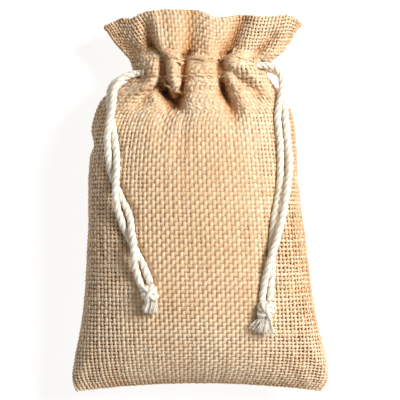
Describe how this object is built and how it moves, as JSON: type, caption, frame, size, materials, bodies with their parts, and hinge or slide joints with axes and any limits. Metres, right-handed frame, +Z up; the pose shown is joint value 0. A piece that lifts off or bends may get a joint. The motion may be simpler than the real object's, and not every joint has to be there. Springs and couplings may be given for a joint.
{
  "type": "drawstring gift pouch",
  "caption": "Small stuffed-shape pouch of open jute weave with a gathered neck, a ruffled mouth and knotted cotton drawcords.",
  "frame": {"origin": "on the surface the pouch lies on, under the middle of its length and width", "axes": "+X to the right across the front, +Y from the base seam towards the mouth, +Z up out of the front panel"},
  "size_m": [0.0971, 0.145, 0.0439],
  "materials": {
    "jute": "open plain weave, natural",
    "thread": "spun thread",
    "cotton": "twisted cotton, unbleached"
  },
  "bodies": {
    "pouch": {"front_panel": "jute", "back_panel": "jute", "front_casing": "jute", "back_casing": "jute", "back_ruffle": "jute", "left_side_seam": "jute", "right_side_seam": "jute", "base_seam": "jute", "front_lower_stitches": "thread", "front_upper_stitches": "thread", "back_lower_stitches": "thread", "back_upper_stitches": "thread"},
    "front_lip": {"front_ruffle": "jute"},
    "left_cord": {"left_cord_loop": "cotton"},
    "left_tail": {"left_strand_a": "cotton", "left_strand_b": "cotton", "left_knot": "cotton", "left_end_a": "cotton", "left_end_b": "cotton"},
    "right_cord": {"right_cord_loop": "cotton"},
    "right_tail": {"right_strand_a": "cotton", "right_strand_b": "cotton", "right_knot": "cotton", "right_end_a": "cotton", "right_end_b": "cotton"}
  },
  "joints": [
    {"name": "mouth_open", "type": "hinge", "parent": "pouch", "child": "front_lip", "pos_m": [0, 0.0535, 0.028], "axis": [1, 0, 0], "range_deg": [0, 25]},
    {"name": "left_pull", "type": "slide", "parent": "pouch", "child": "left_cord", "axis": [-1, 0, 0], "range_m": [0, 0.004]},
    {"name": "left_swing", "type": "hinge", "parent": "left_cord", "child": "left_tail", "pos_m": [-0.024, 0.048, 0.018], "axis": [0, 0, -1], "range_deg": [0, 60]},
    {"name": "right_pull", "type": "slide", "parent": "pouch", "child": "right_cord", "axis": [1, 0, 0], "range_m": [0, 0.004]},
    {"name": "right_swing", "type": "hinge", "parent": "right_cord", "child": "right_tail", "pos_m": [0.024, 0.0511, 0.018], "axis": [0, 0, 1], "range_deg": [0, 60]}
  ]
}
